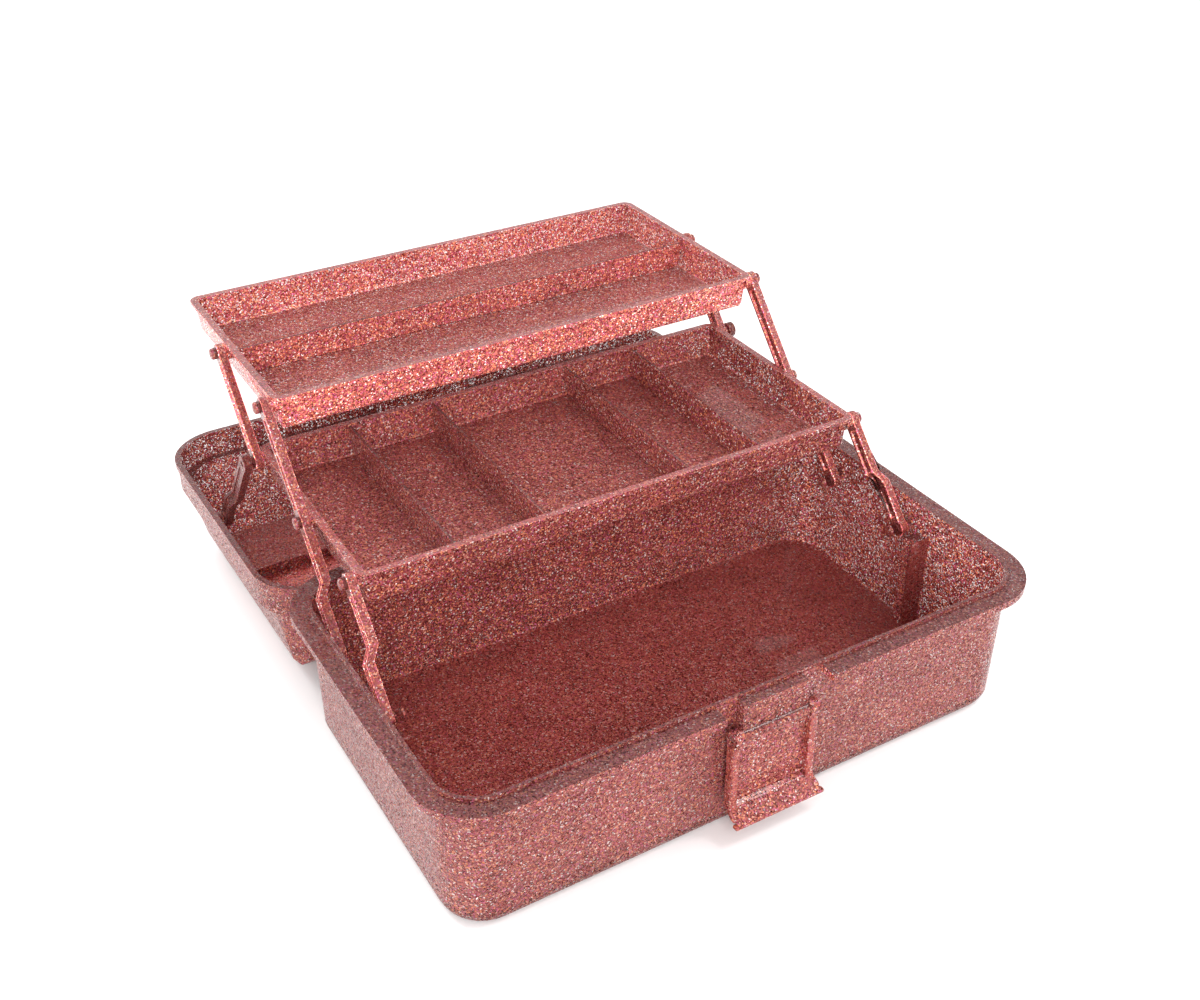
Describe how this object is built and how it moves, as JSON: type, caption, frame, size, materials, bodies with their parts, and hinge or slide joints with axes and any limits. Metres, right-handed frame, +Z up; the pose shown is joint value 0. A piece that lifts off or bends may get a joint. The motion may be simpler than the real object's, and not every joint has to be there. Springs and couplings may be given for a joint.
{
  "type": "art supply box",
  "caption": "Glitter plastic art supply box: hinged lid, shallow divided trays that rise on swinging arms, deep base, front latch and fold-down carry handle",
  "frame": {"origin": "centre of the base's underside, on the table", "axes": "+X to the right along the long side, -Y to the front where the latch is, +Z up. The lid lies open behind, towards +Y"},
  "size_m": [0.33, 0.3905, 0.1554],
  "materials": {
    "glitter_shell": "translucent rose-pink plastic with glitter, glossy",
    "glitter_tray": "translucent rose-pink plastic with glitter, glossy",
    "glitter_divider": "thin glitter plastic seen edge on, deep rose",
    "glitter_arm": "moulded glitter plastic, deep rose",
    "pin_plastic": "smooth dark red plastic",
    "pin_steel": "plain bright steel wire"
  },
  "bodies": {
    "base": {"base_tub": "glitter_shell", "base_pivot_pins": "pin_plastic", "hinge_pins": "pin_steel", "latch_pin": "pin_steel"},
    "lid": {"lid_shell": "glitter_shell", "lid_link_pins": "pin_plastic", "handle_pins": "pin_steel"},
    "handle": {"handle": "glitter_shell"},
    "latch": {"latch_flap": "glitter_shell"},
    "middle_tray": {"middle_tray": "glitter_tray", "middle_divider_1": "glitter_divider", "middle_divider_2": "glitter_divider", "middle_divider_3": "glitter_divider", "middle_divider_4": "glitter_divider", "middle_tray_pins": "pin_plastic"},
    "upper_tray": {"upper_tray": "glitter_tray", "upper_divider": "glitter_divider", "upper_tray_pins": "pin_plastic"},
    "rear_arm_left": {"rear_arm_left": "glitter_arm"},
    "rear_arm_right": {"rear_arm_right": "glitter_arm"},
    "front_arm_left": {"front_arm_left": "glitter_arm"},
    "front_arm_right": {"front_arm_right": "glitter_arm"},
    "upper_link_left": {"upper_link_left": "glitter_arm"},
    "upper_link_right": {"upper_link_right": "glitter_arm"},
    "lid_link_left": {"lid_link_left": "glitter_arm"},
    "lid_link_right": {"lid_link_right": "glitter_arm"}
  },
  "joints": [
    {"name": "lid_hinge", "type": "hinge", "parent": "base", "child": "lid", "pos_m": [0, 0.0965, 0.069], "axis": [1, 0, 0], "range_deg": [0, 181.75]},
    {"name": "handle_pivot", "type": "hinge", "parent": "lid", "child": "handle", "pos_m": [0, 0.21255, 0.00345], "axis": [-1, 0, 0], "range_deg": [0, 90]},
    {"name": "latch_pivot", "type": "hinge", "parent": "base", "child": "latch", "pos_m": [0, -0.0919, 0.057], "axis": [-1, 0, 0], "range_deg": [0, 180]},
    {"name": "rear_arm_left_pivot", "type": "hinge", "parent": "base", "child": "rear_arm_left", "pos_m": [-0.14855, 0.053, 0.059], "axis": [1, 0, 0], "range_deg": [0, 112.45]},
    {"name": "front_arm_left_pivot", "type": "hinge", "parent": "base", "child": "front_arm_left", "pos_m": [-0.14855, -0.004, 0.059], "axis": [1, 0, 0], "range_deg": [0, 112.45]},
    {"name": "rear_arm_right_pivot", "type": "hinge", "parent": "base", "child": "rear_arm_right", "pos_m": [0.14855, 0.053, 0.059], "axis": [1, 0, 0], "range_deg": [0, 112.45]},
    {"name": "front_arm_right_pivot", "type": "hinge", "parent": "base", "child": "front_arm_right", "pos_m": [0.14855, -0.004, 0.059], "axis": [1, 0, 0], "range_deg": [0, 112.45]},
    {"name": "middle_tray_pivot", "type": "hinge", "parent": "rear_arm_left", "child": "middle_tray", "pos_m": [-0.1442, 0.09549, 0.10619], "axis": [1, 0, 0], "range_deg": [-112.45, 0]},
    {"name": "upper_tray_pivot", "type": "hinge", "parent": "rear_arm_left", "child": "upper_tray", "pos_m": [-0.1442, 0.1353, 0.15041], "axis": [1, 0, 0], "range_deg": [-112.45, 0]},
    {"name": "upper_link_left_pivot", "type": "hinge", "parent": "middle_tray", "child": "upper_link_left", "pos_m": [-0.1442, 0.16149, 0.10619], "axis": [1, 0, 0], "range_deg": [0, 112.45]},
    {"name": "lid_link_left_pivot", "type": "hinge", "parent": "lid", "child": "lid_link_left", "pos_m": [-0.1536, 0.20819, 0.04708], "axis": [1, 0, 0], "range_deg": [0, 44.5]},
    {"name": "upper_link_right_pivot", "type": "hinge", "parent": "middle_tray", "child": "upper_link_right", "pos_m": [0.1442, 0.16149, 0.10619], "axis": [1, 0, 0], "range_deg": [0, 112.45]},
    {"name": "lid_link_right_pivot", "type": "hinge", "parent": "lid", "child": "lid_link_right", "pos_m": [0.1536, 0.20819, 0.04708], "axis": [1, 0, 0], "range_deg": [0, 44.5]}
  ],
  "couplings": [
    {"joint": "rear_arm_left_pivot", "follows": "lid_hinge", "ratio": 0.61843},
    {"joint": "front_arm_left_pivot", "follows": "lid_hinge", "ratio": 0.61843},
    {"joint": "rear_arm_right_pivot", "follows": "lid_hinge", "ratio": 0.61843},
    {"joint": "front_arm_right_pivot", "follows": "lid_hinge", "ratio": 0.61843},
    {"joint": "middle_tray_pivot", "follows": "lid_hinge", "ratio": -0.61843},
    {"joint": "upper_tray_pivot", "follows": "lid_hinge", "ratio": -0.61843},
    {"joint": "upper_link_left_pivot", "follows": "lid_hinge", "ratio": 0.61843},
    {"joint": "lid_link_left_pivot", "follows": "lid_hinge", "ratio": 0.24459},
    {"joint": "upper_link_right_pivot", "follows": "lid_hinge", "ratio": 0.61843},
    {"joint": "lid_link_right_pivot", "follows": "lid_hinge", "ratio": 0.24459}
  ]
}
